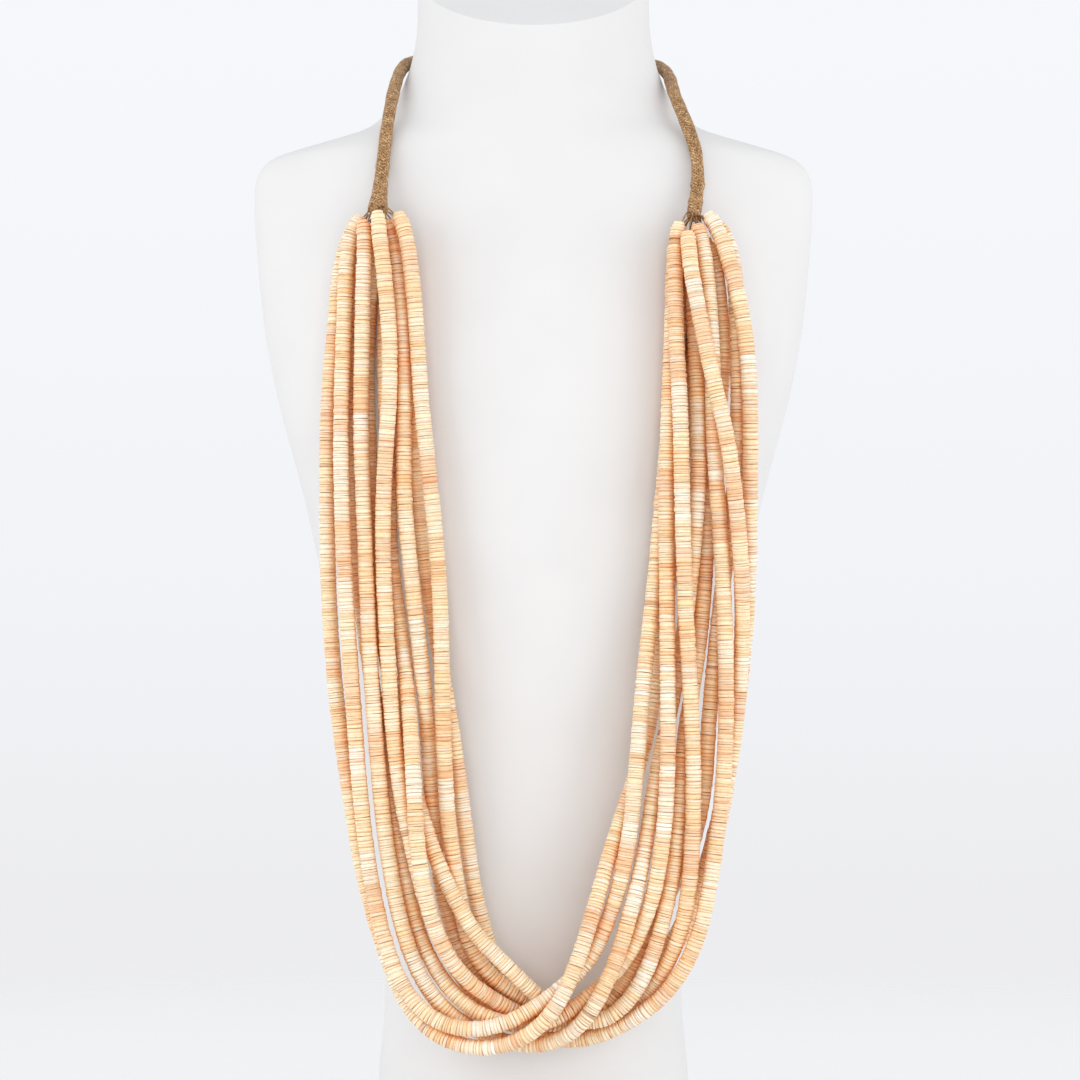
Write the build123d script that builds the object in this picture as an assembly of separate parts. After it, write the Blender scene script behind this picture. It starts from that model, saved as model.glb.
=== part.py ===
"""A shell necklace of ten strands of disc beads on a wrapped cord, hung on a plain neck bust.

Millimetres, +Z up. The origin is the middle of the bust's flat base, the wearer's chest faces -Y.
"Forward" is the distance in front of the bust's middle plane, so it is -Y.
"""
from build123d import *

import math
import os

import numpy as np

# The bust
base_to_neck_front = 412.0
neck_cut_slope = 0.6
half_shoulder_width = 104.5
chest_front = 62.0
chest_back = 59.0

# The necklace
bead_diameter = 5.8
strand_gap = 0.5
cord_diameter = 4.6
left_binding_end_diameter = 7.4
right_binding_end_diameter = 5.6
binding_start_diameter = 5.2
seat_gap = 0.6

# Cross-sections of the bust, as shares of the named sizes.
# Height of the neck's front edge, half the shoulders' width, the chest's front, the chest's back.
BUST_SECTIONS = [
    (0.000, 0.526, 0.71, 0.81),
    (0.126, 0.531, 0.73, 0.80),
    (0.265, 0.593, 0.79, 0.83),
    (0.354, 0.641, 0.85, 0.86),
    (0.454, 0.708, 0.92, 0.90),
    (0.527, 0.770, 0.96, 0.95),
    (0.600, 0.837, 0.99, 0.98),
    (0.650, 0.891, 1.00, 1.00),
    (0.701, 0.938, 1.00, 1.00),
    (0.745, 0.966, 0.97, 0.98),
    (0.785, 0.983, 0.93, 0.96),
    (0.825, 0.996, 0.875, 0.91),
    (0.846, 1.000, 0.839, 0.870),
    (0.851, 1.000, 0.830, 0.860),
]
SHOULDER_SECTIONS = [
    (0.851, 1.000, 0.830, 0.860),
    (0.856, 1.000, 0.821, 0.850),
    (0.874, 0.992, 0.78, 0.81),
    (0.888, 0.955, 0.75, 0.79),
    (0.898, 0.860, 0.73, 0.77),
    (0.908, 0.720, 0.71, 0.75),
    (0.920, 0.590, 0.69, 0.74),
    (0.936, 0.522, 0.67, 0.74),
    (0.952, 0.480, 0.653, 0.748),
    (0.956, 0.4725, 0.650, 0.750),
]
NECK_SECTIONS = [
    (0.956, 0.4725, 0.650, 0.750),
    (0.960, 0.4655, 0.647, 0.752),
    (0.985, 0.434, 0.63, 0.76),
    (1.060, 0.419, 0.61, 0.77),
    (1.160, 0.416, 0.60, 0.78),
]

# How far forward the rearmost strands hang: height and distance, as shares of the height of the neck's
# front edge and of the chest's front.
HANG = [
    (0.000, 0.920),
    (0.267, 0.920),
    (0.454, 0.935),
    (0.607, 0.935),
    (0.704, 0.900),
    (0.774, 0.855),
    (0.837, 0.775),
    (0.874, 0.710),
]

# The routes of the strands, from the left binding round the front to the right one.
# Across, as thousandths of half the shoulders' width, up, as thousandths of the height of the neck's front
# edge, and how many strands deep the place lies in front of the rearmost ones.
STRAND_ROUTES = {
    "shell_strand_01": [
        (-612, 816, 0.4), (-641, 800, 0.3), (-665, 774, 0.1), (-679, 731, 0), (-703, 665, 0),
        (-708, 586, 0), (-703, 499, 0), (-679, 408, 0), (-632, 325, 0), (-589, 257, 0.1),
        (-541, 212, 0.3), (-498, 178, 0.6), (-440, 142, 0.9), (-335, 114, 1.6), (-177, 103, 2.2),
        (-33, 113, 2.7), (67, 136, 3), (139, 170, 2.8), (201, 216, 2.4), (258, 265, 1.7),
        (311, 307, 0.9), (368, 350, 0.3), (411, 399, 0), (435, 456, 0), (469, 525, 0),
        (502, 603, 0), (531, 682, 0), (550, 744, 0), (574, 783, 0.1), (589, 806, 0.2),
    ],
    "shell_strand_02": [
        (-589, 824, 1.6), (-627, 807, 1.5), (-641, 779, 1.3), (-646, 733, 1.1), (-656, 664, 1),
        (-656, 586, 1), (-641, 499, 1), (-617, 409, 1), (-593, 326, 1), (-560, 255, 1.1),
        (-512, 199, 1.4), (-450, 157, 1.7), (-349, 129, 2), (-220, 119, 2.1), (-86, 125, 2.2),
        (33, 143, 2.1), (134, 163, 1.9), (201, 182, 1.9), (244, 206, 1.9), (292, 240, 1.9),
        (330, 288, 1.9), (354, 353, 1.7), (378, 426, 1.2), (416, 504, 0.4), (445, 586, 0),
        (474, 665, 0), (502, 731, 0), (526, 779, 0.1), (541, 807, 0.2),
    ],
    "shell_strand_03": [
        (-579, 819, 2), (-574, 800, 2), (-579, 763, 1.7), (-584, 711, 1.3), (-589, 638, 1),
        (-574, 551, 1), (-560, 456, 1), (-536, 369, 1), (-507, 288, 1), (-459, 218, 1.2),
        (-402, 174, 1.4), (-330, 144, 1.2), (-244, 126, 0.9), (-129, 112, 0.9), (-10, 107, 1.1),
        (91, 115, 1.4), (163, 132, 1.8), (225, 159, 1.9), (273, 184, 1.9), (321, 223, 2),
        (368, 266, 1.7), (397, 309, 1.3), (426, 351, 1), (464, 391, 0.7), (507, 448, 0.6),
        (541, 517, 0.8), (565, 595, 1), (560, 669, 1), (550, 729, 1), (541, 777, 1.1),
        (536, 803, 1.2),
    ],
    "shell_strand_04": [
        (-574, 808, 0.8), (-593, 789, 0.7), (-612, 752, 0.3), (-627, 695, 0), (-622, 625, 0),
        (-608, 542, 0), (-574, 456, 0), (-522, 377, 0.1), (-478, 313, 0.3), (-440, 256, 0.4),
        (-388, 204, 0.6), (-321, 170, 0.8), (-230, 143, 1), (-129, 129, 1.2), (-10, 124, 1.4),
        (91, 130, 1.3), (177, 143, 1), (249, 159, 0.9), (316, 178, 0.9), (364, 205, 1.2),
        (407, 240, 1.6), (440, 292, 1.8), (455, 357, 1.8), (455, 434, 1.4), (455, 512, 1),
        (455, 590, 0.9), (469, 664, 0.7), (483, 729, 0.5), (493, 778, 0.4), (502, 803, 0.4),
    ],
    "shell_strand_05": [
        (-507, 808, 0.4), (-512, 789, 0.4), (-531, 751, 0.7), (-531, 711, 0.9), (-517, 659, 0.9),
        (-502, 595, 0.5), (-493, 525, 0.2), (-445, 456, 0.2), (-416, 391, 1.1), (-402, 335, 2),
        (-392, 280, 2.3), (-359, 228, 2.3), (-301, 189, 2.1), (-230, 165, 1.7), (-139, 148, 1.2),
        (-38, 135, 0.6), (67, 126, 0.4), (177, 126, 0.2), (254, 141, 0.3), (316, 161, 0.4),
        (368, 188, 0.6), (416, 214, 0.7), (478, 243, 0.6), (541, 274, 0.5), (584, 322, 0.5),
        (598, 387, 0.6), (627, 465, 0.2), (665, 542, 0.1), (694, 620, 0.6), (694, 686, 0.8),
        (689, 743, 0.8), (679, 785, 0.9), (646, 812, 1), (584, 825, 1),
    ],
    "shell_strand_06": [
        (-530, 826, 2.6), (-525, 806, 2.6), (-507, 771, 2.3), (-488, 720, 1.9), (-488, 663, 1.8),
        (-507, 603, 1.4), (-512, 534, 1.1), (-498, 456, 1), (-478, 379, 1), (-450, 318, 1.2),
        (-402, 261, 1.3), (-359, 214, 1.3), (-301, 180, 1.1), (-206, 147, 0.7), (-81, 124, 0.4),
        (38, 113, 0.2), (148, 112, 0.4), (249, 120, 0.7), (344, 133, 1), (431, 150, 1.2),
        (507, 175, 1.4), (565, 208, 1.5), (603, 257, 1.4), (641, 322, 1.3), (656, 396, 1.3),
        (651, 473, 1.2), (636, 551, 1.1), (612, 629, 1.4), (612, 703, 1.6), (598, 758, 1.8),
        (584, 794, 2), (560, 816, 2.1),
    ],
    "shell_strand_07": [
        (-531, 806, 1.2), (-536, 785, 0.9), (-545, 748, 0.4), (-560, 691, 0.1), (-555, 621, 0),
        (-545, 534, 0), (-507, 448, 0), (-459, 374, 0.1), (-397, 317, 0.8), (-340, 271, 1.5),
        (-273, 234, 1.7), (-196, 201, 1.7), (-105, 178, 1.7), (-10, 154, 1.4), (77, 133, 0.8),
        (167, 124, 0.4), (254, 126, 0.5), (335, 143, 0.9), (392, 167, 1.1), (435, 201, 1.3),
        (474, 244, 1.2), (498, 300, 1), (512, 365, 0.9), (560, 434, 0.5), (593, 508, 0.1),
        (598, 586, 0), (641, 655, 0.2), (660, 704, 0.4), (646, 748, 0.7), (627, 782, 0.9),
        (593, 805, 1),
    ],
    "shell_strand_08": [
        (-469, 825, 1.9), (-440, 803, 2), (-421, 767, 1.7), (-407, 720, 1.4), (-392, 664, 1.2),
        (-364, 603, 1.1), (-330, 529, 1), (-316, 451, 1.1), (-311, 374, 1.3), (-297, 300, 0.9),
        (-263, 239, 0.8), (-230, 192, 0.8), (-167, 165, 0.7), (-86, 147, 0.4), (24, 132, 0.1),
        (134, 125, -0.1), (244, 126, 0.1), (344, 138, 0.6), (416, 159, 1.2), (469, 184, 1.6),
        (512, 215, 1.8), (536, 262, 1.9), (545, 326, 1.9), (536, 400, 1.8), (517, 482, 1.8),
        (507, 568, 1.8), (502, 650, 1.9), (488, 720, 1.8), (488, 772, 1.6), (493, 801, 1.4),
        (507, 818, 1.4),
    ],
    "shell_strand_09": [
        (-498, 820, 1.3), (-474, 801, 1.25), (-455, 766, 1.1), (-440, 711, 1), (-440, 647, 1),
        (-445, 578, 1), (-416, 495, 1), (-383, 421, 0.8), (-364, 352, 0.3), (-349, 291, 0.2),
        (-321, 239, 0.2), (-278, 198, 0.1), (-215, 167, 0), (-115, 142, -0.2), (5, 127, -0.5),
        (124, 123, -0.6), (244, 129, -0.4), (364, 152, 0), (459, 182, 0.2), (536, 217, 0.2),
        (603, 265, 0.2), (651, 317, 0.3), (694, 377, 0.3), (713, 443, 0.5), (713, 504, 1.2),
        (694, 564, 1.7), (660, 629, 2.2), (603, 688, 2.4), (565, 735, 2.4), (536, 777, 2.4),
        (526, 809, 2.3),
    ],
    "shell_strand_10": [
        (-455, 807, 0.5), (-445, 785, 0.4), (-435, 748, 0.2), (-431, 691, 0.1), (-421, 621, 0),
        (-388, 539, 0), (-335, 456, 0), (-278, 377, 0.1), (-239, 308, 0.2), (-206, 248, 0.3),
        (-158, 201, 0.4), (-105, 169, 0), (-38, 140, -0.5), (67, 118, -0.8), (196, 117, -0.7),
        (316, 135, -0.5), (416, 164, -0.3), (512, 199, -0.4), (584, 242, -0.5), (641, 295, -0.6),
        (684, 360, -0.6), (718, 434, -0.3), (737, 508, 0.2), (737, 581, 0.9), (737, 646, 1.5),
        (727, 703, 1.7), (699, 748, 1.9), (656, 788, 2), (617, 814, 2), (586, 825, 1.9),
    ],
}

# The wrapped cord, from the left binding round the back of the neck to the right one. Across,
# forward and up, as thousandths of half the shoulders' width, of the chest's front and of the height of the
# neck's front edge.
CORD_ROUTE = [
    (-522, 740, 873),
    (-516, 669, 894),
    (-507, 548, 918),
    (-497, 371, 942),
    (-489, 226, 956),
    (-481, 65, 969),
    (-469, -89, 979),
    (-448, -248, 987),
    (-401, -427, 993),
    (-304, -606, 998),
    (-163, -745, 1001),
    (0, -795, 1002),
    (163, -745, 1000),
    (304, -606, 996),
    (401, -427, 990),
    (453, -250, 983),
    (476, -89, 975),
    (488, 65, 965),
    (491, 226, 954),
    (500, 371, 941),
    (526, 542, 919),
    (553, 648, 897),
    (570, 700, 878),
    (568, 758, 856),
]
LEFT_BINDING_END = (-536, 903, 828)
RIGHT_BINDING_END = (549, 895, 823)

# Rounds of settling, and how strongly a strand keeps its neighbours' shift and its first place.
settling_rounds = 700
stiffness = 0.02
memory = 0.0003


def bust_at(x, z):
    """How far forward the bust's skin is at places across x and up z, or far back where there is no bust."""
    height, width, front, back = np.array(BUST_SECTIONS).T
    share = z / base_to_neck_front
    half_width = half_shoulder_width * np.interp(share, height, width)
    front = chest_front * np.interp(share, height, front)
    back = chest_back * np.interp(share, height, back)
    inside = 1 - (x / half_width) ** 2
    bow = np.sqrt(np.clip(inside, 0, None))
    return np.where(inside > 0, (front - back) / 2 + (front + back) / 2 * bow, -back)


def seat_at(x, z):
    """How far forward the middle of a strand may lie at the least, so that it clears the bust."""
    away = bead_diameter / 2 + seat_gap
    # Beside the middle the skin leans sideways, so the strand also clears it a little nearer the middle.
    nearer = np.sign(x) * np.clip(np.abs(x) - away, 0, None)
    return np.maximum(bust_at(x, z), bust_at(nearer, z) - away / 2) + away


def along_weights(count, steps):
    """Weights that turn a route's points into places on the smooth line through the middles of its runs."""
    rows = []
    for t in np.linspace(0, 1, steps, endpoint=False):
        row = np.zeros(count)
        row[:2] = 1 - t / 2, t / 2
        rows.append(row)
    for i in range(1, count - 1):
        for t in np.linspace(0, 1, 2 * steps, endpoint=False):
            row = np.zeros(count)
            row[i - 1 : i + 2] = (1 - t) ** 2 / 2, 0.5 + t * (1 - t), t**2 / 2
            rows.append(row)
    last = np.zeros(count)
    last[-1] = 1
    rows.append(last)
    return np.array(rows)


def settled_routes():
    """The strands' routes as points across, forward and up, moved apart until no two strands overlap."""
    apart = bead_diameter + strand_gap
    hang_heights, hang_shares = np.array(HANG).T
    first = []
    for route in STRAND_ROUTES.values():
        across, up, layer = np.array(route, float).T
        hang = chest_front * np.interp(up / 1000, hang_heights, hang_shares)
        across = across * half_shoulder_width / 1000
        up = up * base_to_neck_front / 1000
        first.append(np.column_stack([across, hang + layer * apart, up]))
    weights = [along_weights(len(points), 4) for points in first]
    owner = np.repeat(np.arange(len(first)), [len(w) for w in weights])
    start = np.vstack([w @ p for w, p in zip(weights, first)])
    lean = np.array([0.2, 1.0, 0.2])
    routes = [points.copy() for points in first]
    for turn in range(settling_rounds):
        places = np.vstack([w @ p for w, p in zip(weights, routes)])
        if turn % 40 == 0:
            flat = places @ places.T
            square = np.diag(flat)
            near = square[:, None] + square - 2 * flat < (1.6 * apart) ** 2
            near &= owner[:, None] < owner
            a, b = np.nonzero(near)
            order = np.sign(start[a, 1] - start[b, 1])
            firm = np.abs(start[a, 1] - start[b, 1]) > 0.15 * apart
        between = places[a] - places[b]
        swapped = firm & (between[:, 1] * order < 0.5)
        swapped &= np.hypot(between[:, 0], between[:, 2]) < 0.85 * apart
        between[swapped, 1] = 0.23 * apart * order[swapped]
        short = apart - np.linalg.norm(between, axis=1)
        short = np.where(swapped, 0.45 * apart, np.clip(short, 0, 0.45 * apart))
        push = between * lean
        push *= (short / 2 / np.maximum(np.linalg.norm(push, axis=1), 1e-9))[:, None]
        hits = np.bincount(a, short > 0, len(places)) + np.bincount(b, short > 0, len(places))
        shift = np.zeros_like(places)
        for k in range(3):
            shift[:, k] = np.bincount(a, push[:, k], len(places)) - np.bincount(b, push[:, k], len(places))
        shift /= np.maximum(hits, 1)[:, None]
        shift[:, 1] += np.maximum(seat_at(places[:, 0], places[:, 2]) - places[:, 1], 0)
        for k, w in enumerate(weights):
            routes[k] += 1.5 * (w.T @ shift[owner == k]) / w.sum(0)[:, None]
            moved = routes[k] - first[k]
            ends = np.vstack([moved[:1], moved, moved[-1:]])
            routes[k] += stiffness * ((ends[:-2] + ends[2:]) / 2 - moved) - memory * moved
    return dict(zip(STRAND_ROUTES, routes))


def from_shares(across, forward, up):
    """A place across, forward and up from its thousandths of the bust's named sizes."""
    return half_shoulder_width * across / 1000, chest_front * forward / 1000, base_to_neck_front * up / 1000


def place(across, forward, up):
    """A point from its distances across, forward and up."""
    return Vector(across, -forward, up)


def tube(name, points, diameter):
    """A round tube along straight runs joined by tangent arcs, as large as the runs allow."""
    points = [place(*p) for p in points]
    runs = [b - a for a, b in zip(points, points[1:])]
    radii = []
    for before, after in zip(runs, runs[1:]):
        half_turn = math.radians(before.get_angle(after)) / 2
        radii.append(0.45 * min(before.length, after.length) / math.tan(half_turn))
    path = FilletPolyline(*points, radius=radii)
    section = Plane(origin=path @ 0, z_dir=path % 0) * Circle(diameter / 2)
    solid = sweep(section, path=path)
    straight = math.pi * diameter**2 / 4 * path.length
    print(
        f"{name}: {path.length:.0f} mm long, least radius {min(radii):.0f} mm,"
        f" runs {min(r.length for r in runs):.0f} to {max(r.length for r in runs):.0f} mm,"
        f" volume {solid.volume / straight:.4f} of section times length"
    )
    return solid


def lofted(sections):
    """A solid through elliptical cross-sections, each given as shares of the bust's named sizes."""
    faces = []
    for height, width, front, back in sections:
        forward, rear = chest_front * front, chest_back * back
        middle = Plane(origin=(0, (rear - forward) / 2, base_to_neck_front * height))
        faces.append(middle * Ellipse(half_shoulder_width * width, (forward + rear) / 2))
    return loft(faces)


def neck_bust():
    """The display bust: a torso that narrows to a flat base, sloping shoulders and a slanted neck."""
    body = lofted(BUST_SECTIONS) + lofted(SHOULDER_SECTIONS) + lofted(NECK_SECTIONS)
    neck_front = chest_front * NECK_SECTIONS[-2][2]
    cut = Plane(
        origin=(0, -neck_front, base_to_neck_front),
        x_dir=(1, 0, 0),
        z_dir=(0, -neck_cut_slope, 1),
    )
    return split(body, bisect_by=cut, keep=Keep.BOTTOM)


def binding(start, end, end_diameter):
    """The thicker wrap where the strands' threads enter the cord: a spindle that flares to a rounded end."""
    axis = place(*end) - place(*start)
    length = axis.length - seat_gap
    start_radius, end_radius = binding_start_diameter / 2, end_diameter / 2
    with BuildSketch(Plane.XZ) as profile:
        with BuildLine():
            Polyline((0, length), (0, 0), (start_radius, 0), (start_radius, 0.35 * length))
            Spline(
                (start_radius, 0.35 * length),
                (0.55 * start_radius + 0.45 * end_radius, 0.68 * length),
                (end_radius, 0.93 * length),
                tangents=[(0, 1), (0, 1)],
            )
            Polyline((end_radius, 0.93 * length), (0.72 * end_radius, length), (0, length))
        make_face()
    solid = revolve(profile.sketch, axis=Axis.Z)
    seat = place(*start) + axis.normalized() * seat_gap
    return Plane(origin=seat, z_dir=axis) * solid


def build():
    """Builds every piece of the necklace and its bust, by name."""
    cord = [from_shares(*p) for p in CORD_ROUTE]
    left_end, right_end = from_shares(*LEFT_BINDING_END), from_shares(*RIGHT_BINDING_END)
    pieces = {
        "neck_bust": neck_bust(),
        "neck_cord": tube("neck_cord", cord, cord_diameter),
        "left_binding": binding(cord[0], left_end, left_binding_end_diameter),
        "right_binding": binding(cord[-1], right_end, right_binding_end_diameter),
    }
    for name, route in settled_routes().items():
        pieces[name] = tube(name, route, bead_diameter)
    return pieces


os.makedirs("parts", exist_ok=True)
for name, solid in build().items():
    export_step(solid, f"parts/{name}.step")
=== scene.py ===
"""The look of the shell necklace on its neck bust.

Metres, +Z up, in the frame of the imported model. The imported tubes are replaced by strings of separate
shell discs, and the smooth cord and bindings by surfaces of crossing thread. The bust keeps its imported
shape.
"""

import logging
import math
from dataclasses import dataclass
from enum import Enum

import bpy
import numpy as np
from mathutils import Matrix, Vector

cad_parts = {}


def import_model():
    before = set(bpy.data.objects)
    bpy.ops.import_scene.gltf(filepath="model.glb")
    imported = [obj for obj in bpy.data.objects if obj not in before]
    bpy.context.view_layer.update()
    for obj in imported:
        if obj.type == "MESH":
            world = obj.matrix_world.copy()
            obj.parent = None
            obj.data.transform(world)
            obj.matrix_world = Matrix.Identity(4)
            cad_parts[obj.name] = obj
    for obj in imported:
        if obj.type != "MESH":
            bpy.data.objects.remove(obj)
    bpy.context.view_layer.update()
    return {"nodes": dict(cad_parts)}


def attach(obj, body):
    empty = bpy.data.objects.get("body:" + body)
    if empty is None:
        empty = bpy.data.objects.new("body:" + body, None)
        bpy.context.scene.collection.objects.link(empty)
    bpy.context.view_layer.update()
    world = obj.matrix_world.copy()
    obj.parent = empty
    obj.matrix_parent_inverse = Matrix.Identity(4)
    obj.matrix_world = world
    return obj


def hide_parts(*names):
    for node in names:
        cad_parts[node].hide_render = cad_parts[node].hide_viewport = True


LOG = logging.getLogger("shell_necklace")

MM = 0.001

# The necklace's named sizes
BEAD_DIAMETER = 5.8 * MM
CORD_DIAMETER = 4.6 * MM
BINDING_START_DIAMETER = 5.2 * MM
LEFT_BINDING_END_DIAMETER = 7.4 * MM
RIGHT_BINDING_END_DIAMETER = 5.6 * MM
RIGHT_BINDING_LUMPS = 0.15 * MM

# The cord's route, from the left binding round the back of the neck to the right one
CORD_ROUTE = (
    (-0.0545, -0.0459, 0.3597),
    (-0.0539, -0.0415, 0.3683),
    (-0.0530, -0.0340, 0.3782),
    (-0.0519, -0.0230, 0.3881),
    (-0.0511, -0.0140, 0.3939),
    (-0.0503, -0.0040, 0.3992),
    (-0.0490, 0.0055, 0.4033),
    (-0.0468, 0.0154, 0.4066),
    (-0.0419, 0.0265, 0.4091),
    (-0.0318, 0.0376, 0.4112),
    (-0.0170, 0.0462, 0.4124),
    (0.0000, 0.0493, 0.4128),
    (0.0170, 0.0462, 0.4120),
    (0.0318, 0.0376, 0.4104),
    (0.0419, 0.0265, 0.4079),
    (0.0473, 0.0155, 0.4050),
    (0.0497, 0.0055, 0.4017),
    (0.0510, -0.0040, 0.3976),
    (0.0513, -0.0140, 0.3930),
    (0.0522, -0.0230, 0.3877),
    (0.0550, -0.0336, 0.3786),
    (0.0578, -0.0402, 0.3696),
    (0.0596, -0.0434, 0.3617),
    (0.0594, -0.0470, 0.3527),
)
LEFT_BINDING_END = (-0.0560, -0.0560, 0.3411)
RIGHT_BINDING_END = (0.0574, -0.0555, 0.3391)

# How the middle line of a packed tube is read and smoothed
FLAT_NORMALS = 0.01
PIVOT_HEIGHT = 0.345
RING_CELL = 0.05 * MM
STRING_STEP = 1.0 * MM
STRING_SPREAD = 3.5 * MM

# The seeds of chance
FIRST_STRING_SEED = 100
LEFT_THREADS_SEED = 41
RIGHT_THREADS_SEED = 42

# The photo's side in pixels, and the camera's sensor in millimetres
PICTURE_PIXELS = 1080
SENSOR_MM = 36.0

WHITE = "#FFFFFF"

Place = tuple[float, float, float]
Stops = tuple[tuple[float, str], ...]
Waves = tuple[tuple[float, float, float], ...]


class Slot(Enum):
    """Material slot names for the shell and the cord, which no piece in this script is given."""

    SHELL = "shell"
    CORD = "cord"


class Side(Enum):
    """The necklace's two sides, as seen from the front."""

    LEFT = "left"
    RIGHT = "right"


def linear(colour: str) -> tuple[float, float, float, float]:
    """Turns an sRGB hex colour to linear.

    Args:
        colour: The colour, such as "#F6E3C4".

    Returns:
        Red, green, blue and an alpha of one.
    """
    parts = [int(colour[i : i + 2], 16) / 255 for i in (1, 3, 5)]
    red, green, blue = (c / 12.92 if c <= 0.04045 else ((c + 0.055) / 1.055) ** 2.4 for c in parts)
    return red, green, blue, 1.0


def add(tree: bpy.types.NodeTree, kind: str, inputs: dict, **settings) -> bpy.types.Node:
    """Adds a node with its settings, values and links.

    Args:
        tree: The node tree.
        kind: The node's type.
        inputs: Its inputs, by name or number: a value, or an output to link.
        settings: Its properties.

    Returns:
        The new node.
    """
    node = tree.nodes.new(kind)
    for key, value in settings.items():
        setattr(node, key, value)
    for key, value in inputs.items():
        if isinstance(value, bpy.types.NodeSocket):
            tree.links.new(value, node.inputs[key])
        else:
            node.inputs[key].default_value = value
    return node


def ramp(tree: bpy.types.NodeTree, factor: bpy.types.NodeSocket, stops: Stops) -> bpy.types.NodeSocket:
    """Adds a colour ramp.

    Args:
        tree: The node tree.
        factor: What drives the ramp.
        stops: Pairs of a place from 0 to 1 and an sRGB hex colour.

    Returns:
        The ramp's colour output.
    """
    node = add(tree, "ShaderNodeValToRGB", {0: factor})
    elements = node.color_ramp.elements
    while len(elements) < len(stops):
        elements.new(1.0)
    for element, (place, colour) in zip(elements, stops):
        element.position = place
        element.color = linear(colour)
    return node.outputs["Color"]


def own_place(tree: bpy.types.NodeTree) -> bpy.types.NodeSocket:
    """Reads a place in the object's own coordinates.

    Args:
        tree: The node tree.

    Returns:
        The place's output.
    """
    return add(tree, "ShaderNodeTexCoord", {}).outputs["Object"]


def attribute(tree: bpy.types.NodeTree, name: str, output: str = "Fac") -> bpy.types.NodeSocket:
    """Reads one of a piece's attributes.

    Args:
        tree: The node tree.
        name: The attribute's name.
        output: The name of the output that fits the attribute.

    Returns:
        The attribute's output.
    """
    return add(tree, "ShaderNodeAttribute", {}, attribute_name=name).outputs[output]


def noise(
    tree: bpy.types.NodeTree,
    place: bpy.types.NodeSocket,
    size: float,
    detail: float,
    roughness: float = 0.5,
) -> bpy.types.NodeSocket:
    """Adds cloudy noise in space.

    Args:
        tree: The node tree.
        place: The place at which the noise is read.
        size: How large its clouds are.
        detail: How many finer layers it has.
        roughness: How strong the finer layers are.

    Returns:
        The noise's value.
    """
    inputs = {"Vector": place, "Scale": 1 / size, "Detail": detail, "Roughness": roughness}
    return add(tree, "ShaderNodeTexNoise", inputs).outputs["Fac"]


def multiply(
    tree: bpy.types.NodeTree,
    share: float,
    first: bpy.types.NodeSocket,
    second: bpy.types.NodeSocket,
) -> bpy.types.NodeSocket:
    """Multiplies a colour by another one.

    Args:
        tree: The node tree.
        share: How much the second colour counts.
        first: The first colour.
        second: The second colour.

    Returns:
        The product's colour output.
    """
    inputs = {0: share, 6: first, 7: second}
    return add(tree, "ShaderNodeMix", inputs, data_type="RGBA", blend_type="MULTIPLY").outputs[2]


def multiply_add(
    tree: bpy.types.NodeTree,
    value: bpy.types.NodeSocket,
    factor: float,
    addend: float | bpy.types.NodeSocket,
) -> bpy.types.NodeSocket:
    """Multiplies a value by a number and adds another value.

    Args:
        tree: The node tree.
        value: The value.
        factor: The number.
        addend: What is added.

    Returns:
        The sum's output.
    """
    inputs = {0: value, 1: factor, 2: addend}
    return add(tree, "ShaderNodeMath", inputs, operation="MULTIPLY_ADD").outputs[0]


def bump(
    tree: bpy.types.NodeTree,
    height: bpy.types.NodeSocket,
    strength: float,
    distance: float,
) -> bpy.types.NodeSocket:
    """Adds fine relief that is too small for the mesh.

    Args:
        tree: The node tree.
        height: The relief's height, from 0 to 1.
        strength: How strongly it counts.
        distance: How high a height of one is.

    Returns:
        The normal's output.
    """
    inputs = {"Height": height, "Strength": strength, "Distance": distance}
    return add(tree, "ShaderNodeBump", inputs).outputs["Normal"]


def new_material(name: str) -> tuple[bpy.types.Material, bpy.types.NodeTree]:
    """Makes an empty material.

    Args:
        name: The material's name.

    Returns:
        The material and its empty node tree.
    """
    material = bpy.data.materials.new(name)
    material.use_nodes = True
    material.node_tree.nodes.clear()
    return material, material.node_tree


def close_material(tree: bpy.types.NodeTree, shader: bpy.types.Node) -> None:
    """Links a shader to the material's output.

    Args:
        tree: The node tree.
        shader: The shader node.
    """
    add(tree, "ShaderNodeOutputMaterial", {"Surface": shader.outputs[0]})


@dataclass(frozen=True)
class BustFinish:
    """Cast resin with a matt sprayed coat.

    It is an even white with barely any gloss and a very fine orange peel.
    """

    cloud_mm: float = 40.0
    tones: Stops = ((0.35, "#DAD9D8"), (0.65, "#DDDCDB"))
    roughness: tuple[float, float] = (0.68, 0.77)
    refraction: float = 1.42
    peel_mm: float = 1.6
    peel_depth_mm: float = 0.02
    peel_strength: float = 0.06

    def make(self) -> bpy.types.Material:
        """Makes the material.

        Returns:
            The material.
        """
        material, tree = new_material("matt_white_resin")
        place = own_place(tree)
        cloud = noise(tree, place, self.cloud_mm * MM, detail=2.0)
        peel = noise(tree, place, self.peel_mm * MM, detail=1.0)
        least, most = self.roughness
        gloss = add(tree, "ShaderNodeMapRange", {"Value": cloud, "To Min": least, "To Max": most})
        shader = add(
            tree,
            "ShaderNodeBsdfPrincipled",
            {
                "Base Color": ramp(tree, cloud, self.tones),
                "Roughness": gloss.outputs["Result"],
                "IOR": self.refraction,
                "Normal": bump(tree, peel, self.peel_strength, self.peel_depth_mm * MM),
            },
        )
        close_material(tree, shader)
        return material


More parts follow.
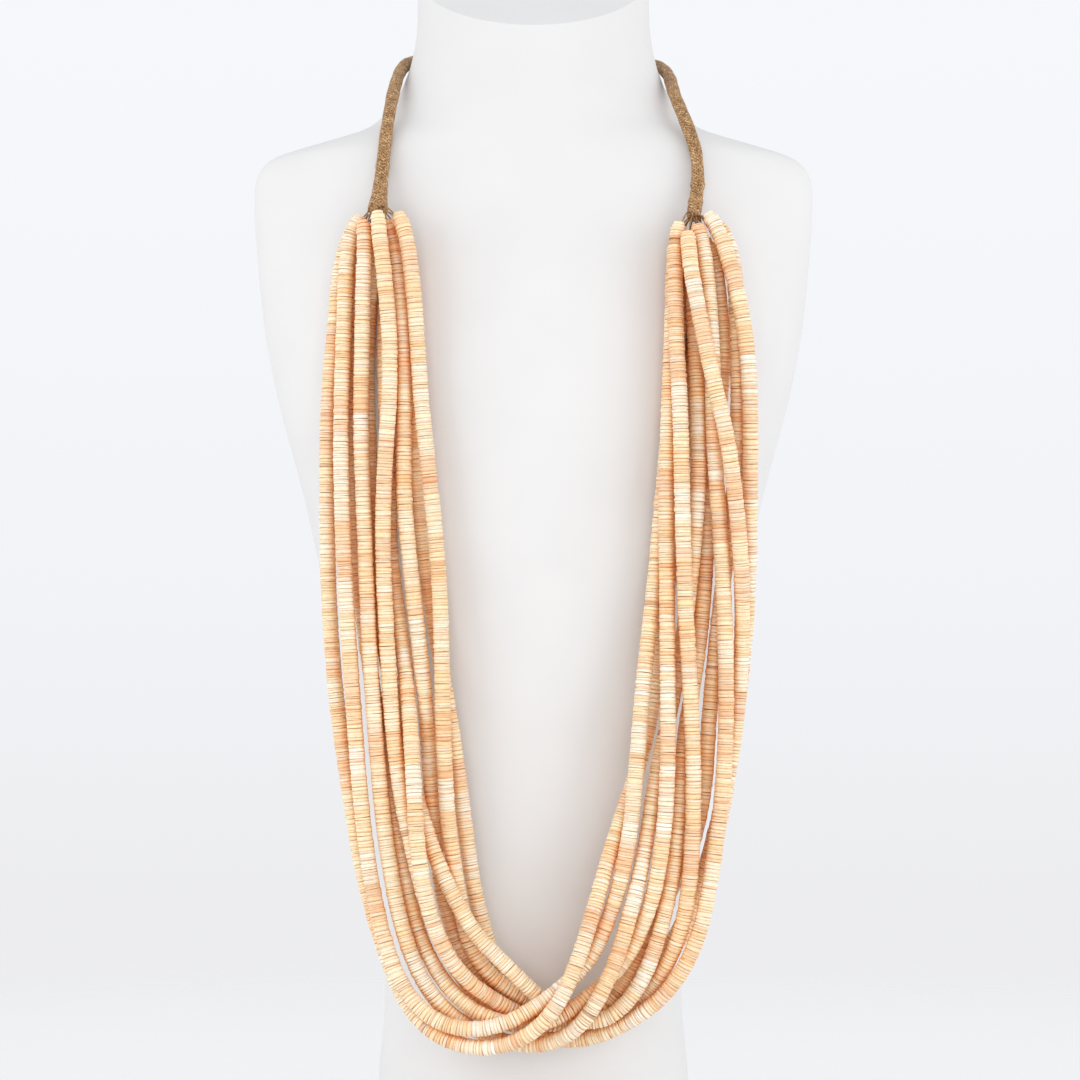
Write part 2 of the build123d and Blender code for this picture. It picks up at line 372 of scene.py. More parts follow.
@dataclass(frozen=True)
class ShellFinish:
    """Sea shell cut to discs and ground.

    The rims are creamy and glow faintly, with the shell's growth layers in them. Painted shade darkens the
    grooves between the discs and the crevices where the strings lie close.
    """

    layers_per_mm: float = 2.0
    layers: Stops = ((0.28, "#DEA66A"), (0.38, "#F6DAB2"), (0.47, "#FFFCF6"), (0.74, "#FFFDF8"))
    layers_share: float = 0.62
    layers_depth_mm: float = 0.05
    layers_strength: float = 0.35
    mottle_mm: float = 1.4
    mottle: Stops = ((0.35, "#F6E8D8"), (0.6, WHITE))
    mottle_share: float = 0.45
    # Painted shade in the grooves between the discs, driven by each disc's edge value
    groove_shade: Stops = ((0.66, WHITE), (1.0, "#DDB08A"))
    # Painted shade: how far the occlusion reaches, and the warm shade it paints in the crevices between
    # the strings
    crevice_shade_reach_mm: float = 7.0
    crevice_shade: Stops = ((0.03, "#F2A85C"), (0.3, "#FFE0B6"), (0.6, WHITE))
    roughness: float = 0.42
    refraction: float = 1.53
    glow: float = 0.4
    glow_reach: tuple[float, float, float] = (1.0, 0.72, 0.45)
    glow_mm: float = 0.8

    def make(self) -> bpy.types.Material:
        """Makes the material, which reads each disc's tint, layer and edge attributes.

        Returns:
            The material.
        """
        material, tree = new_material("ground_sea_shell")
        tint = attribute(tree, "tint", "Color")
        # The growth layers lie flat in the disc, so they show as fine lines round its rim.
        fine = add(
            tree,
            "ShaderNodeTexNoise",
            {"W": attribute(tree, "layer"), "Scale": self.layers_per_mm, "Detail": 2.0, "Roughness": 0.6},
            noise_dimensions="1D",
        ).outputs["Fac"]
        mottle = noise(tree, own_place(tree), self.mottle_mm * MM, detail=3.0)
        # Painted shade: each disc darkens towards its flat faces, by its edge value, for the shade in the
        # grooves between the discs.
        rim = multiply(tree, 1.0, tint, ramp(tree, attribute(tree, "edge"), self.groove_shade))
        # Painted shade: where the strings lie close, ambient occlusion darkens the shell to a warm orange,
        # standing in for shade and light bounced between the strings.
        reach = {"Distance": self.crevice_shade_reach_mm * MM}
        open_share = add(tree, "ShaderNodeAmbientOcclusion", reach, samples=4).outputs["AO"]
        crevice_shaded = multiply(tree, 1.0, rim, ramp(tree, open_share, self.crevice_shade))
        layered = multiply(tree, self.layers_share, crevice_shaded, ramp(tree, fine, self.layers))
        mottled = multiply(tree, self.mottle_share, layered, ramp(tree, mottle, self.mottle))
        shader = add(
            tree,
            "ShaderNodeBsdfPrincipled",
            {
                "Base Color": mottled,
                "Roughness": self.roughness,
                "IOR": self.refraction,
                "Subsurface Weight": self.glow,
                "Subsurface Radius": self.glow_reach,
                "Subsurface Scale": self.glow_mm * MM,
                "Normal": bump(tree, fine, self.layers_strength, self.layers_depth_mm * MM),
            },
        )
        close_material(tree, shader)
        return material


@dataclass(frozen=True)
class ThreadFinish:
    """Waxed cotton thread worked round a core.

    It is dull brown, darker where threads cross under, with golden fibres.
    """

    tones: Stops = ((0.44, "#62401F"), (0.60, "#9E7445"), (0.74, "#BE9867"), (0.90, "#EBD6B0"))
    crown_share: float = 0.3
    fibres_mm: float = 0.8
    fibres_share: float = 1.1
    fibres_depth_mm: float = 0.08
    fibres_strength: float = 0.5
    patches_mm: float = 3.0
    patches_share: float = 0.3
    roughness: float = 0.72
    fuzz: float = 0.1
    fuzz_roughness: float = 0.5

    def make(self) -> bpy.types.Material:
        """Makes the material, which reads how near the top of a thread a place is.

        Returns:
            The material.
        """
        material, tree = new_material("braided_cotton_thread")
        place = own_place(tree)
        patch = noise(tree, place, self.patches_mm * MM, detail=2.0)
        fibre = noise(tree, place, self.fibres_mm * MM, detail=3.0, roughness=0.7)
        raised = multiply_add(tree, attribute(tree, "crown"), self.crown_share, -self.crown_share)
        flecked = multiply_add(tree, fibre, self.fibres_share, raised)
        cloudy = multiply_add(tree, patch, self.patches_share, flecked)
        shader = add(
            tree,
            "ShaderNodeBsdfPrincipled",
            {
                "Base Color": ramp(tree, cloudy, self.tones),
                "Roughness": self.roughness,
                "Sheen Weight": self.fuzz,
                "Sheen Roughness": self.fuzz_roughness,
                "Normal": bump(tree, fibre, self.fibres_strength, self.fibres_depth_mm * MM),
            },
        )
        close_material(tree, shader)
        return material


def run_along(points: np.ndarray) -> np.ndarray:
    """Measures how far along a line each of its places is.

    Args:
        points: Places along the line, in order.

    Returns:
        The distance from the line's start, for each place.
    """
    return np.concatenate([[0.0], np.cumsum(np.linalg.norm(np.diff(points, axis=0), axis=1))])


def sample(values: np.ndarray, run: np.ndarray, at: np.ndarray) -> np.ndarray:
    """Reads a line, or directions along it, at given distances.

    Args:
        values: Three numbers for each place of the line.
        run: How far along the line each place is.
        at: The distances to read it at.

    Returns:
        Three numbers for each distance.
    """
    return np.column_stack([np.interp(at, run, values[:, k]) for k in range(3)])


def smooth_line(points: np.ndarray, step: float, spread: float) -> np.ndarray:
    """Resamples a line evenly and evens out its corners.

    Args:
        points: Places along the line, in order.
        step: The distance between the new places.
        spread: How far along the line a corner is evened out.

    Returns:
        Even places along the smoothed line.
    """
    run = run_along(points)
    count = max(int(round(run[-1] / step)), 2) + 1
    even = sample(points, run, np.linspace(0, run[-1], count))
    reach = int(math.ceil(3 * spread / step))
    weights = np.exp(-0.5 * (np.arange(-reach, reach + 1) * step / spread) ** 2)
    weights /= weights.sum()
    # Beyond its ends the line is continued by turning it half round its end point.
    before = 2 * even[0] - even[reach:0:-1]
    after = 2 * even[-1] - even[-2 : -reach - 2 : -1]
    longer = np.vstack([before, even, after])
    return np.column_stack([np.convolve(longer[:, k], weights, "valid") for k in range(3)])


def directions(points: np.ndarray) -> tuple[np.ndarray, np.ndarray, np.ndarray]:
    """Finds the direction of a line and two directions across it.

    Args:
        points: Places along the line, in order.

    Returns:
        The line's direction at each place, and two directions across it that turn as little as they can.
    """
    along = np.gradient(points, axis=0)
    along /= np.linalg.norm(along, axis=1)[:, None]
    across = np.empty_like(along)
    guess = np.array([0.0, 1.0, 0.0])
    for k, direction in enumerate(along):
        guess = guess - direction * (guess @ direction)
        guess /= np.linalg.norm(guess)
        across[k] = guess
    return along, across, np.cross(along, across)


def full_turn(sides: int) -> np.ndarray:
    """Divides a full turn evenly.

    Args:
        sides: How many parts it has.

    Returns:
        The angle at which each part starts.
    """
    return np.arange(sides) / sides * 2 * math.pi


def sum_waves(run: np.ndarray, waves: Waves) -> np.ndarray:
    """Adds up slow waves along a line.

    Args:
        run: How far along the line each place is.
        waves: Each wave's height, the distance for one radian of it, and its start in radians.

    Returns:
        The waves' sum at each place.
    """
    return sum(height * np.sin(run / radian + start) for height, radian, start in waves)


def round_places(
    middle: np.ndarray,
    across: np.ndarray,
    over: np.ndarray,
    radius: float | np.ndarray,
    angle: np.ndarray,
) -> np.ndarray:
    """Puts a ring of places round each place of a line.

    Args:
        middle: The rings' middles.
        across: One direction across the line, for each ring.
        over: The other direction across it.
        radius: How far from the middle the places are.
        angle: The places' angles.

    Returns:
        The places of each ring.
    """
    return (
        middle[:, None]
        + across[:, None] * (radius * np.cos(angle))[..., None]
        + over[:, None] * (radius * np.sin(angle))[..., None]
    )


def mesh_piece(name: str, places: np.ndarray, faces: np.ndarray, smooth: np.ndarray) -> bpy.types.Object:
    """Makes an object from four-sided faces.

    Args:
        name: The object's name.
        places: The vertices.
        faces: Four vertex numbers for each face.
        smooth: Whether each face is shaded smooth.

    Returns:
        The object, linked to the scene.
    """
    mesh = bpy.data.meshes.new(name)
    mesh.vertices.add(len(places))
    mesh.vertices.foreach_set("co", places.astype(np.float32).ravel())
    mesh.loops.add(faces.size)
    mesh.loops.foreach_set("vertex_index", faces.astype(np.int32).ravel())
    mesh.polygons.add(len(faces))
    mesh.polygons.foreach_set("loop_start", np.arange(0, faces.size, 4, dtype=np.int32))
    mesh.polygons.foreach_set("use_smooth", smooth.astype(bool))
    mesh.update(calc_edges=True)
    mesh.validate()
    piece = bpy.data.objects.new(name, mesh)
    bpy.context.scene.collection.objects.link(piece)
    return piece


def store(piece: bpy.types.Object, name: str, values: np.ndarray) -> None:
    """Stores a value or a colour at each vertex.

    Args:
        piece: The object.
        name: The attribute's name.
        values: One value, or four for a colour, for each vertex.
    """
    kind, field = ("FLOAT_COLOR", "color") if values.ndim == 2 else ("FLOAT", "value")
    stored = piece.data.attributes.new(name, kind, "POINT")
    stored.data.foreach_set(field, values.astype(np.float32).ravel())


def ring_faces(rings: int, sides: int, first: int = 0) -> np.ndarray:
    """Numbers the faces of a row of rings that are joined one to the next.

    Args:
        rings: How many rings there are.
        sides: How many vertices a ring has.
        first: The first vertex's number.

    Returns:
        Four vertex numbers for each face, which points away from the rings' middle.
    """
    ring, side = np.meshgrid(np.arange(rings - 1), np.arange(sides), indexing="ij")
    near = ring * sides
    nxt = (side + 1) % sides
    faces = np.stack([near + side, near + sides + side, near + sides + nxt, near + nxt], axis=-1)
    return faces.reshape(-1, 4)[:, ::-1] + first


def string_line(node: bpy.types.Object) -> np.ndarray:
    """Reads the middle line of a packed tube, from its left end to its right one.

    Args:
        node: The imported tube.

    Returns:
        Even places along the smoothed line.
    """
    mesh = node.data
    co = np.empty(len(mesh.vertices) * 3, np.float32)
    mesh.vertices.foreach_get("co", co)
    corner = np.empty(len(mesh.loops), np.int32)
    mesh.loops.foreach_get("vertex_index", corner)
    normal = np.empty(len(mesh.loops) * 3, np.float32)
    mesh.corner_normals.foreach_get("vector", normal)
    # The two flat ends are the only triangles whose three corners point the same way.
    point = normal.reshape(-1, 3, 3)
    wall = np.repeat(np.ptp(point, axis=1).max(axis=1) > FLAT_NORMALS, 3)
    inward = normal.reshape(-1, 3) * (BEAD_DIAMETER / 2)
    middle = (co.reshape(-1, 3)[corner] - inward).astype(float)[wall]
    # A string hangs below its two ends, so the angle round a place between them puts it in order.
    pivot = max(middle[:, 2].max(), PIVOT_HEIGHT)
    order = np.argsort(np.arctan2(pivot - middle[:, 2], -middle[:, 0]))
    # All the wall's corners in one ring share its middle.
    cell = np.round(middle[order] / RING_CELL).astype(np.int64)
    rings = np.sort(np.unique(cell, axis=0, return_index=True)[1])
    return smooth_line(middle[order][rings], STRING_STEP, STRING_SPREAD)


@dataclass(frozen=True)
class ShellMix:
    """The colours that shell discs come in, and how often each does.

    The last of them are too rare to fill a stretch of a string.
    """

    colours: tuple[tuple[str, float], ...] = (
        ("#FFE9C7", 0.30),
        ("#FFEED6", 0.22),
        ("#FFDFB7", 0.18),
        ("#FCD3A5", 0.10),
        ("#F3C8A3", 0.05),
        ("#FFF6EA", 0.14),
        ("#E9B184", 0.025),
        ("#A5663C", 0.005),
    )
    rare: int = 2
    stretch_discs: int = 10
    lean: tuple[float, float] = (0.35, 0.75)
    brightness: tuple[float, float] = (0.94, 1.05)

    def pick(self, count: int, random: np.random.Generator) -> np.ndarray:
        """Picks a colour for each disc of a string.

        Args:
            count: How many discs there are.
            random: The seeded source of chance.

        Returns:
            A linear colour for each disc.
        """
        tints = np.array([linear(colour) for colour, _ in self.colours])
        share = np.array([often for _, often in self.colours])
        drawn = tints[random.choice(len(tints), count, p=share / share.sum())]
        # Discs cut from one shell follow each other, so stretches of a string lean to one shade.
        shades = random.choice(len(tints) - self.rare, count // self.stretch_discs + 2)
        stretch = tints[shades[np.arange(count) // self.stretch_discs]]
        lean = random.uniform(*self.lean, count)[:, None]
        mixed = drawn * (1 - lean) + stretch * lean
        mixed[:, :3] *= random.uniform(*self.brightness, count)[:, None]
        mixed[:, 3] = 1.0
        return np.clip(mixed, 0, 1)


@dataclass
class ShellString:
    """One string of drilled shell discs, which stands for a packed tube.

    Spans without a unit are shares of the mean thickness, of the bead's radius, or of a full groove.
    """

    node: bpy.types.Object
    line: np.ndarray
    seed: int
    sides: int = 14
    mean_thickness: float = 1.14 * MM
    evenness: float = 9.0
    thickness: tuple[float, float] = (0.45, 1.9)
    gap_mm: tuple[float, float] = (0.015, 0.05)
    radius_mean: float = 0.99
    radius_spread: float = 0.015
    radius: tuple[float, float] = (0.94, 1.005)
    oval: float = 0.012
    lobed: float = 0.008
    hole_share: float = 0.2
    rim_bevel: float = 0.07 * MM
    tilt: float = math.radians(2.0)
    slip: float = 0.1 * MM
    last_discs: tuple[float, float, float] = (0.72, 0.88, 0.97)
    groove: tuple[float, float] = (0.35, 0.98)
    shell_depth_mm: float = 400.0

    def thicknesses(self, length: float, random: np.random.Generator) -> tuple[np.ndarray, np.ndarray]:
        """Draws how thick the discs are.

        Args:
            length: How long the string is.
            random: The seeded source of chance.

        Returns:
            How far along the string each disc's middle is, and its thickness without the gap to the next.
        """
        count = int(length / self.mean_thickness)
        thick = random.gamma(self.evenness, 1 / self.evenness, count).clip(*self.thickness)
        thick *= length / thick.sum()
        middle = np.cumsum(thick) - thick / 2
        return middle, thick - random.uniform(*self.gap_mm, count) * MM

    def frames(self, middle: np.ndarray, random: np.random.Generator) -> tuple[np.ndarray, ...]:
        """Finds where the discs are and how they lie, each a little askew and off the string's line.

        Args:
            middle: How far along the string each disc's middle is.
            random: The seeded source of chance.

        Returns:
            Each disc's middle, its axis, and the two directions across it.
        """
        run = run_along(self.line)
        centre, t, a, b = (sample(values, run, middle) for values in (self.line, *directions(self.line)))
        shape = (2, len(middle))
        lean_a, lean_b = random.normal(0, self.tilt / 2, shape).clip(-self.tilt, self.tilt)
        t = t + a * lean_a[:, None] + b * lean_b[:, None]
        t /= np.linalg.norm(t, axis=1)[:, None]
        a = a - t * (a * t).sum(1)[:, None]
        a /= np.linalg.norm(a, axis=1)[:, None]
        b = np.cross(t, a)
        slip_a, slip_b = random.normal(0, self.slip / 2, shape).clip(-self.slip, self.slip)
        return centre + a * slip_a[:, None] + b * slip_b[:, None], t, a, b

    def build(self, finish: bpy.types.Material) -> bpy.types.Object:
        """Makes the string.

        Args:
            finish: The discs' material.

        Returns:
            The string's object.
        """
        random = np.random.default_rng(self.seed)
        length = run_along(self.line)[-1]
        middle, thick = self.thicknesses(length, random)
        count = len(middle)
        centre, t, a, b = self.frames(middle, random)
        spread = random.normal(self.radius_mean, self.radius_spread, count)
        radius = BEAD_DIAMETER / 2 * spread.clip(*self.radius)
        # The outermost discs are the smallest, so each string ends round.
        last = len(self.last_discs)
        radius[:last] *= self.last_discs
        radius[-last:] *= self.last_discs[::-1]

        # Each disc was rounded on a grindstone with the whole string, so it is only a little out of round.
        start = random.uniform(0, 2 * math.pi, (3, count, 1))
        angle = full_turn(self.sides)[None] + start[0]
        uneven = 1 + self.oval * np.cos(2 * angle + start[1]) + self.lobed * np.cos(5 * angle + start[2])
        outer = radius[:, None] * uneven
        half = thick[:, None] / 2 * np.ones_like(outer)
        bevel = np.minimum(self.rim_bevel, thick / 3)[:, None]
        hole = outer * self.hole_share
        face = outer - bevel
        rings = ((hole, -half), (face, -half), (outer, half * 0), (face, half), (hole, half))
        places = np.stack(
            [round_places(centre, a, b, r, angle) + t[:, None] * h[..., None] for r, h in rings],
            axis=1,
        )
        size = len(rings) * self.sides
        first = (np.arange(count) * size)[:, None, None]
        faces = (ring_faces(len(rings), self.sides)[None] + first).reshape(-1, 4)
        band = np.repeat(np.array([0, 1, 1, 0]), self.sides)
        piece = mesh_piece(f"{self.node.name}_discs", places.reshape(-1, 3), faces, np.tile(band, count))

        store(piece, "tint", np.repeat(ShellMix().pick(count, random), size, axis=0))
        depth = np.stack([h for _, h in rings], axis=1) / MM
        phase = random.uniform(0, self.shell_depth_mm, count)[:, None, None]
        store(piece, "layer", (depth + phase).ravel())
        # Painted shade: how dark the groove on each flat face of a disc is painted, stored as its edge
        # value
        groove = random.uniform(*self.groove, (count, 2, 1)) * np.ones(self.sides)
        low, high = groove[:, :1], groove[:, 1:]
        store(piece, "edge", np.concatenate([low, low, 0 * low, high, high], axis=1).ravel())
        piece.data.materials.append(finish)
        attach(piece, "root")
        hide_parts(self.node.name)
        LOG.info("%s: %d discs on %.0f mm", piece.name, count, length / MM)
        return piece


@dataclass
class BraidedSurface:
    """A round piece covered with thread that crosses itself.

    It has two families of low ridges, one climbing each way.
    """

    name: str
    line: np.ndarray
    radii: np.ndarray
    step: float
    pitch: float = 1.25 * MM
    wander: Waves = ((0.2, 9.0 * MM, 0.0), (0.12, 3.1 * MM, 0.0))
    threads: int = 9
    relief: float = 0.16 * MM
    lower_ridge: float = 0.92
    sides: int = 36

    def build(self, finish: bpy.types.Material) -> bpy.types.Object:
        """Makes the piece. A place's height is the higher of the two ridges there, each a cosine wave.

        Args:
            finish: The thread's material.

        Returns:
            The piece's object.
        """
        _, across, over = directions(self.line)
        run = np.arange(len(self.line))[:, None] * self.step
        angle = full_turn(self.sides)
        climb = run / self.pitch + sum_waves(run, self.wander)
        round_share = self.threads * angle[None] / (2 * math.pi)
        ridges = [0.5 + 0.5 * np.cos(2 * math.pi * (climb + way * round_share)) for way in (1, -1)]
        crown = np.maximum(ridges[0], self.lower_ridge * ridges[1])
        radius = self.radii[:, None] - self.relief * (1 - crown)
        places = round_places(self.line, across, over, radius, angle)
        ends = [self.line[k, None, None] + 0 * places[:1] for k in (0, -1)]
        places = np.concatenate([ends[0], places, ends[1]])
        crown = np.concatenate([crown[:1], crown, crown[-1:]])
        faces = ring_faces(len(places), self.sides)
        piece = mesh_piece(self.name, places.reshape(-1, 3), faces, np.ones(len(faces)))
        store(piece, "crown", crown.ravel())
        piece.data.materials.append(finish)
        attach(piece, "root")
        LOG.info("%s: %d rings", self.name, len(self.line))
        return piece


@dataclass
class NeckCord:
    """The thread-covered cord round the back of the neck."""

    name: str = "neck_cord_braided"
    step: float = 0.22 * MM
    spread: float = 0.6 * MM
    crown_rise: float = 0.05 * MM
    swell: Waves = ((0.07 * MM, 5.1 * MM, 0.0), (0.06 * MM, 1.9 * MM, 1.0))

    def route(self) -> np.ndarray:
        """Reads the smooth line through the cord's route.

        Returns:
            Places along the line.
        """
        curve = bpy.data.curves.new("cord_route", "CURVE")
        curve.dimensions = "3D"
        curve.resolution_u = 24
        spline = curve.splines.new("NURBS")
        spline.points.add(len(CORD_ROUTE) - 1)
        for point, place in zip(spline.points, CORD_ROUTE):
            point.co = (*place, 1.0)
        spline.order_u = 3
        spline.use_endpoint_u = True
        holder = bpy.data.objects.new("cord_route", curve)
        bpy.context.scene.collection.objects.link(holder)
        mesh = bpy.data.meshes.new_from_object(holder)
        points = np.array([vertex.co for vertex in mesh.vertices], float)
        bpy.data.objects.remove(holder)
        bpy.data.meshes.remove(mesh)
        bpy.data.curves.remove(curve)
        return points

    def build(self, finish: bpy.types.Material) -> bpy.types.Object:
        """Makes the cord.

        Args:
            finish: The thread's material.

        Returns:
            The cord's object.
        """
        route = self.route()
        line = smooth_line(route, self.step, self.spread)
        run = np.arange(len(line)) * self.step
        radii = CORD_DIAMETER / 2 + self.crown_rise + sum_waves(run, self.swell)
        piece = BraidedSurface(self.name, line, radii, self.step).build(finish)
        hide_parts("neck_cord")
        return piece


@dataclass
class Binding:
    """The thicker thread covering at one end of the cord.

    A row of the profile is a share of the binding's length and the shares that the start's and the end's
    radius have in the radius there. The bumps are in shares of the lumps.
    """

    side: Side
    start: Place
    end: Place
    end_diameter: float
    lumps: float = 0.07 * MM
    sunk: float = 0.05 * MM
    step: float = 0.2 * MM
    threads: int = 10
    bumps: Waves = ((0.7, 0.6 * MM, 0.0), (1.0, 1.5 * MM, 2.0))
    profile: tuple[tuple[float, float, float], ...] = (
        (0.0, 1.0, 0.0),
        (0.35, 1.0, 0.0),
        (0.68, 0.55, 0.45),
        (0.93, 0.0, 1.0),
        (1.0, 0.0, 0.72),
    )

    def build(self, finish: bpy.types.Material) -> bpy.types.Object:
        """Makes the binding.

        Args:
            finish: The thread's material.

        Returns:
            The binding's object.
        """
        start, end = np.array(self.start), np.array(self.end)
        length = np.linalg.norm(end - start)
        axis = (end - start) / length
        at = np.arange(0, length, self.step)
        share, first, last = np.array(self.profile).T
        knots = first * BINDING_START_DIAMETER / 2 + last * self.end_diameter / 2
        radii = np.interp(at / length, share, knots)
        radii += self.lumps * sum_waves(at, self.bumps) - self.sunk
        line = start + axis * at[:, None]
        node = f"{self.side.value}_binding"
        surface = BraidedSurface(f"{node}_braided", line, radii, self.step, threads=self.threads)
        piece = surface.build(finish)
        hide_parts(node)
        return piece


@dataclass
class BareThreads:
    """The bare threads that fan out from a binding's end to the first discs of the strings.

    The inner place is where a thread has gone well into its string, counted in places of the line.
    """

    side: Side
    source: Place
    reach: float
    ends: list[np.ndarray]
    seed: int
    thickness: float = 0.55 * MM
    sides: int = 6
    rings: int = 13
    threads_per_string: int = 2
    scatter: float = 0.6
    hidden: float = 1.5 * MM
    inner_place: int = 6
    bow: float = 0.45
    stray: float = 0.5 * MM
    crown: tuple[float, float] = (0.3, 0.9)

    def build(self, finish: bpy.types.Material) -> bpy.types.Object:
        """Makes all the threads of one side as one piece.

        Args:
            finish: The thread's material.

        Returns:
            The threads' object.
        """
        random = np.random.default_rng(self.seed)
        source = np.array(self.source)
        share = np.linspace(0, 1, self.rings)[:, None]
        angle = full_turn(self.sides)
        size = self.rings * self.sides
        places, faces, crowns = [], [], []
        for end in self.ends:
            first, inner = end[0], end[min(self.inner_place, len(end) - 1)]
            for _ in range(self.threads_per_string):
                offset = random.uniform(-1, 1, 3) * self.reach * self.scatter
                begin = source + offset + np.array([0, 0, self.hidden])
                stray = random.uniform(-1, 1, 3) * self.stray
                bend = (begin + first) / 2 + (first - inner) * self.bow + stray
                line = (1 - share) ** 2 * begin + 2 * share * (1 - share) * bend + share**2 * inner
                _, across, over = directions(line)
                ring = round_places(line, across, over, self.thickness / 2, angle)
                faces.append(ring_faces(self.rings, self.sides, len(places) * size))
                places.append(ring.reshape(-1, 3))
                crowns.append(np.full(size, random.uniform(*self.crown)))
        every = np.concatenate(faces)
        name = f"{self.side.value}_bare_threads"
        piece = mesh_piece(name, np.concatenate(places), every, np.ones(len(every)))
        store(piece, "crown", np.concatenate(crowns))
        piece.data.materials.append(finish)
        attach(piece, "root")
        LOG.info("%s: %d threads", name, len(places))
        return piece


@dataclass(frozen=True)
class Lamp:
    """One large soft lamp, which the camera doesn't see."""

    name: str
    place: Place
    aim: Place
    watts: float
    size: float = 0.9
    colour: str = WHITE

    def build(self) -> bpy.types.Object:
        """Makes the lamp.

        Returns:
            The lamp's object.
        """
        data = bpy.data.lights.new(self.name, "AREA")
        data.shape = "SQUARE"
        data.size = self.size
        data.energy = self.watts
        data.color = linear(self.colour)[:3]
        lamp = bpy.data.objects.new(self.name, data)
        bpy.context.scene.collection.objects.link(lamp)
        lamp.location = self.place
        lamp.visible_camera = False
        away = lamp.location - Vector(self.aim)
        lamp.rotation_euler = away.to_track_quat("Z", "Y").to_euler()
        LOG.info("%s: %.1f W", self.name, self.watts)
        return lamp


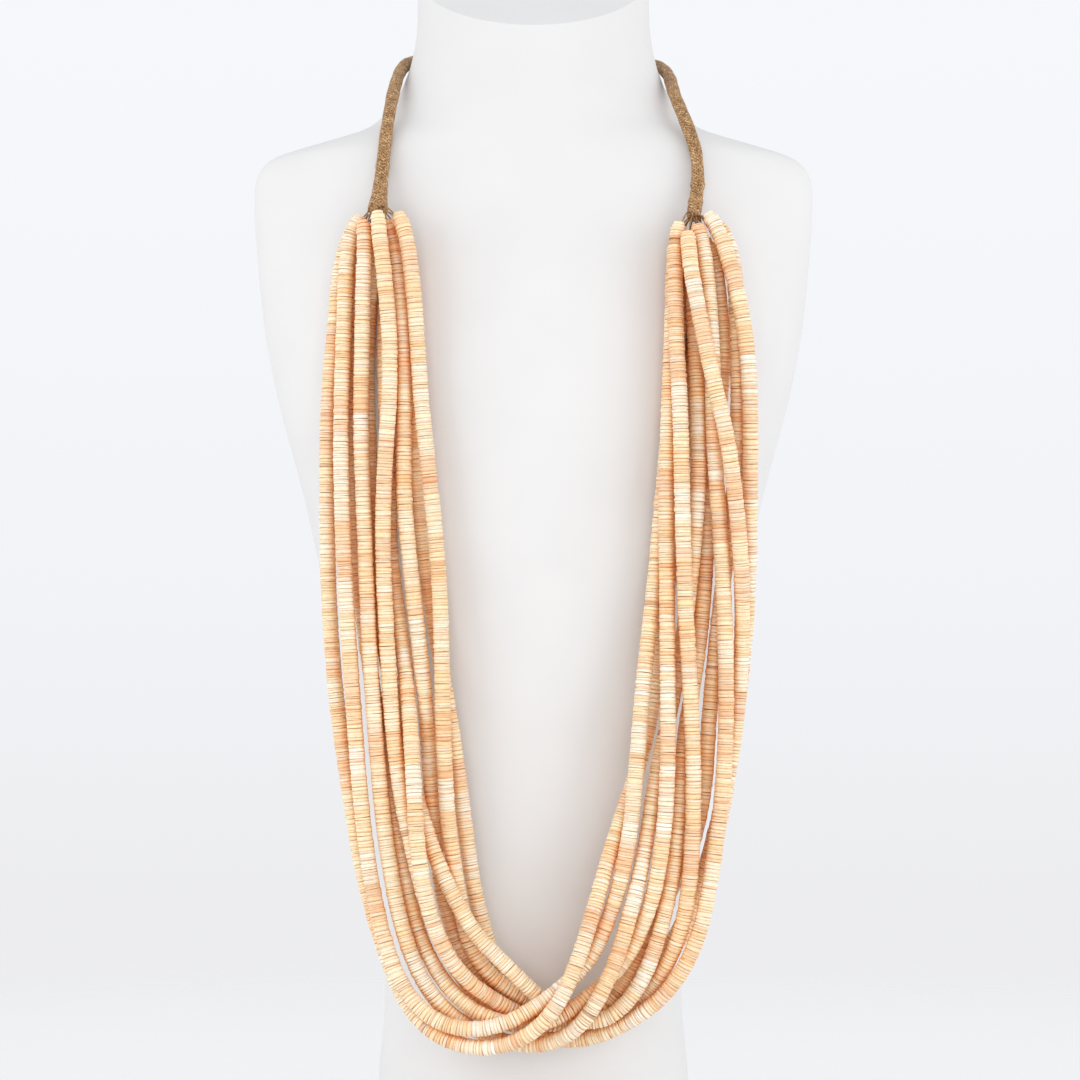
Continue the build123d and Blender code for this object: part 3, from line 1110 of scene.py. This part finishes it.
@dataclass
class Studio:
    """Soft light from all round, a pale floor that fades out, and the camera."""

    eye_distance: float = 1.3
    eye_height: float = 0.195
    focal_length: float = 115.57
    shift_pixels: tuple[float, float] = (6.5, 80.0)
    horizon: tuple[float, float] = (-0.08, 0.16)
    sky: Stops = ((0.0, "#EDEDEF"), (0.35, "#F2F3F7"), (1.0, "#F6F8FB"))
    sky_strength: float = 1.0
    floor_colour: str = "#EEEEEE"
    floor_radius: float = 0.9
    floor_hole: float = 0.0005
    floor_sides: int = 64
    fade: tuple[float, float] = (0.16, 0.8)
    lamps: tuple[Lamp, ...] = (
        Lamp("left_softbox", (-1.1, -0.75, 0.45), (0.0, 0.0, 0.2), 3.4),
        Lamp("right_softbox", (1.1, -0.75, 0.45), (0.0, 0.0, 0.2), 3.4),
        Lamp("left_edge_light", (-1.3, 0.1, 0.4), (0.0, 0.0, 0.3), 1.8),
        Lamp("right_edge_light", (1.3, 0.1, 0.4), (0.0, 0.0, 0.3), 1.8),
        Lamp("front_softbox", (0.0, -1.6, 0.15), (0.0, 0.0, 0.18), 5.0),
    )

    def world(self) -> None:
        """Makes the pale surroundings, a little bluer higher up."""
        world = bpy.data.worlds.new("pale_studio")
        world.use_nodes = True
        tree = world.node_tree
        tree.nodes.clear()
        direction = add(tree, "ShaderNodeTexCoord", {}).outputs["Generated"]
        axes = add(tree, "ShaderNodeSeparateXYZ", {"Vector": direction})
        low, high = self.horizon
        rise = {"Value": axes.outputs["Z"], "From Min": low, "From Max": high}
        share = add(tree, "ShaderNodeMapRange", rise)
        colour = ramp(tree, share.outputs["Result"], self.sky)
        light = add(tree, "ShaderNodeBackground", {"Color": colour, "Strength": self.sky_strength})
        add(tree, "ShaderNodeOutputWorld", {"Surface": light.outputs[0]})
        bpy.context.scene.world = world

    def floor(self) -> None:
        """Makes the floor, which fades into the surroundings."""
        angle = full_turn(self.floor_sides)
        circle = np.column_stack([np.cos(angle), np.sin(angle), 0 * angle])
        places = np.vstack([circle * self.floor_hole, circle * self.floor_radius])
        faces = ring_faces(2, self.floor_sides)[:, ::-1]
        piece = mesh_piece("floor", places, faces, np.zeros(len(faces)))
        material, tree = new_material("pale_table")
        away = add(tree, "ShaderNodeVectorMath", {0: own_place(tree)}, operation="LENGTH")
        near, far = self.fade
        fade = add(
            tree,
            "ShaderNodeMapRange",
            {"Value": away.outputs["Value"], "From Min": near, "From Max": far},
            interpolation_type="SMOOTHSTEP",
        )
        matte = add(tree, "ShaderNodeBsdfDiffuse", {"Color": linear(self.floor_colour)})
        clear = add(tree, "ShaderNodeBsdfTransparent", {})
        both = add(
            tree,
            "ShaderNodeMixShader",
            {0: fade.outputs["Result"], 1: matte.outputs[0], 2: clear.outputs[0]},
        )
        close_material(tree, both)
        piece.data.materials.append(material)
        LOG.info("floor: %.1f m across", 2 * self.floor_radius)

    def camera(self) -> None:
        """Makes the camera: level, in front, with the horizon below the middle of the picture."""
        data = bpy.data.cameras.new("camera")
        data.lens = self.focal_length
        data.sensor_width = SENSOR_MM
        data.shift_x, data.shift_y = (pixels / PICTURE_PIXELS for pixels in self.shift_pixels)
        camera = bpy.data.objects.new("camera", data)
        bpy.context.scene.collection.objects.link(camera)
        camera.location = (0.0, -self.eye_distance, self.eye_height)
        camera.rotation_euler = (math.radians(90), 0.0, 0.0)
        bpy.context.scene.camera = camera

    def build(self) -> None:
        """Makes the whole studio."""
        self.world()
        self.floor()
        for lamp in self.lamps:
            lamp.build()
        self.camera()
        bpy.context.scene.view_settings.view_transform = "Standard"


@dataclass
class Necklace:
    """The whole necklace."""

    nodes: dict[str, bpy.types.Object]

    def build(self) -> None:
        """Makes the strings, the cord, its bindings and the bare threads."""
        shell = ShellFinish().make()
        thread = ThreadFinish().make()
        names = sorted(name for name in self.nodes if name.startswith("shell_strand_"))
        lines = [string_line(self.nodes[name]) for name in names]
        for number, (name, line) in enumerate(zip(names, lines)):
            ShellString(self.nodes[name], line, FIRST_STRING_SEED + number).build(shell)
        NeckCord().build(thread)

        Binding(Side.LEFT, CORD_ROUTE[0], LEFT_BINDING_END, LEFT_BINDING_END_DIAMETER).build(thread)
        Binding(
            Side.RIGHT,
            CORD_ROUTE[-1],
            RIGHT_BINDING_END,
            RIGHT_BINDING_END_DIAMETER,
            lumps=RIGHT_BINDING_LUMPS,
        ).build(thread)

        reach = LEFT_BINDING_END_DIAMETER / 2
        BareThreads(Side.LEFT, LEFT_BINDING_END, reach, lines, LEFT_THREADS_SEED).build(thread)
        reach = RIGHT_BINDING_END_DIAMETER / 2
        reverse = [line[::-1] for line in lines]
        BareThreads(Side.RIGHT, RIGHT_BINDING_END, reach, reverse, RIGHT_THREADS_SEED).build(thread)


def main() -> None:
    """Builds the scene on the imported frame."""
    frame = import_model()
    Necklace(frame["nodes"]).build()
    bust = frame["nodes"]["neck_bust"]
    bust.data.materials.clear()
    bust.data.materials.append(BustFinish().make())
    LOG.info("%s: its packed shape in matt white", bust.name)
    Studio().build()


if __name__ == "__main__":
    logging.basicConfig(level=logging.INFO)
    main()
